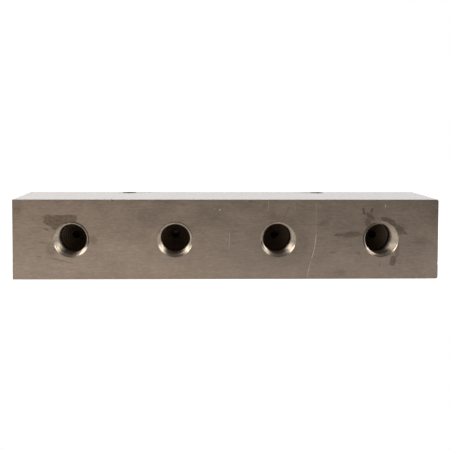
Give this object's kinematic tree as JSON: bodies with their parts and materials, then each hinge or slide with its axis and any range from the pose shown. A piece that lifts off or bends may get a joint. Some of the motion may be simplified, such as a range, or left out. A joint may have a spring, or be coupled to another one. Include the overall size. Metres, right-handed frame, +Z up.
{
  "type": "hydraulic manifold block",
  "caption": "Rectangular ground steel manifold bar with a row of threaded ports in front, passages into a lengthwise gallery, a threaded port at each end and vertical bolt holes.",
  "frame": {"origin": "middle of the underside", "axes": "+Z up, the front ports look towards -Y, the bar and its gallery run along X"},
  "size_m": [0.2032, 0.0508, 0.0381],
  "materials": {
    "ground_steel": "ground steel with a light oil film, brownish, with stains round the ports and fine scratches"
  },
  "bodies": {
    "root": {"manifold_block": "ground_steel"}
  },
  "joints": []
}
